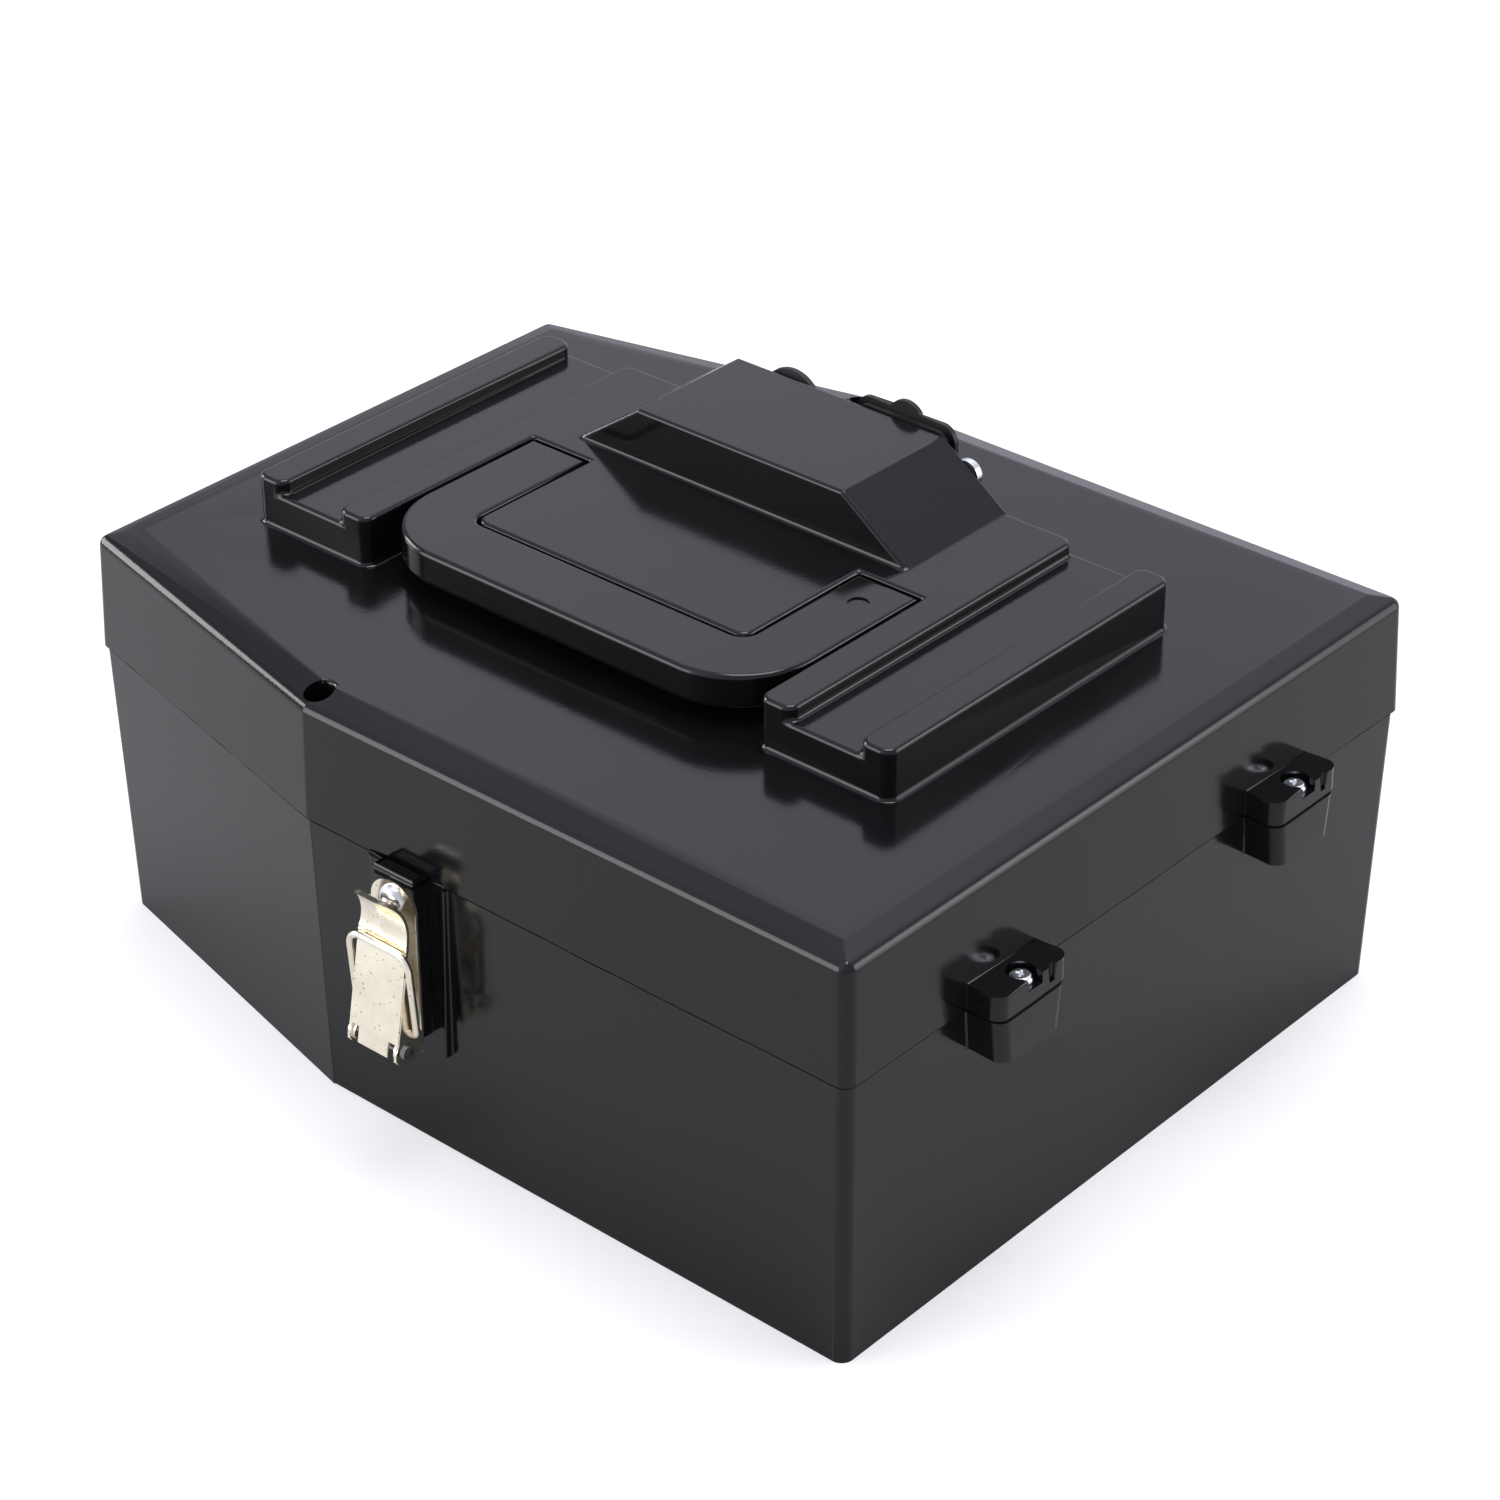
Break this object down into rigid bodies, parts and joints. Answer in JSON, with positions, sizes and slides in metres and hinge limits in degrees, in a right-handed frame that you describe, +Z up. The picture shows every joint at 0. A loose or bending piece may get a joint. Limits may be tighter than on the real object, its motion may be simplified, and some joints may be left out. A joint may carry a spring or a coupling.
{
  "type": "toolbox with tray",
  "caption": "Tapered black plastic carry case with a screwed lid, flush folding handle, draw latch, rear fittings and a lift-out inner tray.",
  "frame": {"origin": "centre of the case's plan on its bottom face, halfway along the 320 mm length and on the centre line", "axes": "+X along the length towards the wide end with the screw lugs, -Y towards the latch, +Z up"},
  "size_m": [0.331, 0.2721, 0.1718],
  "materials": {
    "case_plastic": "satin-gloss black moulding with a fine orange-peel top",
    "handle_plastic": "satin-gloss black moulding",
    "fitting_plastic": "plain black",
    "tray_plastic": "dark grey, lightly textured",
    "seal_rubber": "soft black",
    "cap_rubber": "soft black",
    "brass_insert": "turned",
    "brass_contact": "stamped",
    "zinc_screw": "bright zinc plate",
    "steel_pin": "drawn",
    "nickel_plate": "warm nickel plate with fine pits",
    "nickel_wire": "warm nickel-plated wire",
    "polished_metal": "polished"
  },
  "bodies": {
    "base": {"base_shell": "case_plastic", "boss_inserts": "brass_insert", "lug_inserts": "brass_insert", "latch_base_plate": "nickel_plate", "latch_rivets": "zinc_screw", "latch_pivot_pin": "steel_pin"},
    "lid": {"lid_shell": "case_plastic", "lid_seal": "seal_rubber", "boss_screws": "zinc_screw", "lug_screws": "zinc_screw", "handle_pin_left": "steel_pin", "handle_pin_right": "steel_pin", "socket_plate": "fitting_plastic", "socket_body": "fitting_plastic", "socket_contacts": "brass_contact", "socket_screws": "zinc_screw", "socket_hinge_pin": "steel_pin", "charge_port_body": "fitting_plastic", "charge_port_nut": "fitting_plastic", "rear_stud": "polished_metal"},
    "handle": {"carry_handle": "handle_plastic"},
    "latch_arm": {"latch_lever": "nickel_plate"},
    "bail": {"latch_bail": "nickel_wire"},
    "cover_flap": {"socket_cover": "fitting_plastic"},
    "port_cap": {"charge_port_cap": "cap_rubber"},
    "tray": {"lift_out_tray": "tray_plastic", "tray_divider_wide": "tray_plastic", "tray_divider_narrow": "tray_plastic"}
  },
  "joints": [
    {"name": "lid_lift", "type": "slide", "parent": "base", "child": "lid", "axis": [0, 0, 1], "range_m": [0, 0.12]},
    {"name": "tray_lift", "type": "slide", "parent": "base", "child": "tray", "axis": [0, 0, 1], "range_m": [0, 0.06]},
    {"name": "handle_swing", "type": "hinge", "parent": "lid", "child": "handle", "pos_m": [-0.0032, 0.0025, 0.1455], "axis": [-1, 0, 0], "range_deg": [0, 95]},
    {"name": "latch_swing", "type": "hinge", "parent": "base", "child": "latch_arm", "pos_m": [0.001, -0.1406, 0.044], "axis": [1, 0, 0], "range_deg": [0, 110]},
    {"name": "bail_swing", "type": "hinge", "parent": "latch_arm", "child": "bail", "pos_m": [0.001, -0.1384, 0.0492], "axis": [1, 0, 0], "range_deg": [0, 110]},
    {"name": "flap_swing", "type": "hinge", "parent": "lid", "child": "cover_flap", "pos_m": [0.0194, 0.0676, 0.1414], "axis": [-1, 0, 0], "range_deg": [0, 95]},
    {"name": "cap_pull", "type": "slide", "parent": "lid", "child": "port_cap", "axis": [0, 1, 0], "range_m": [0, 0.02]}
  ],
  "couplings": [
    {"joint": "tray_lift", "follows": "lid_lift", "ratio": 0.5}
  ]
}
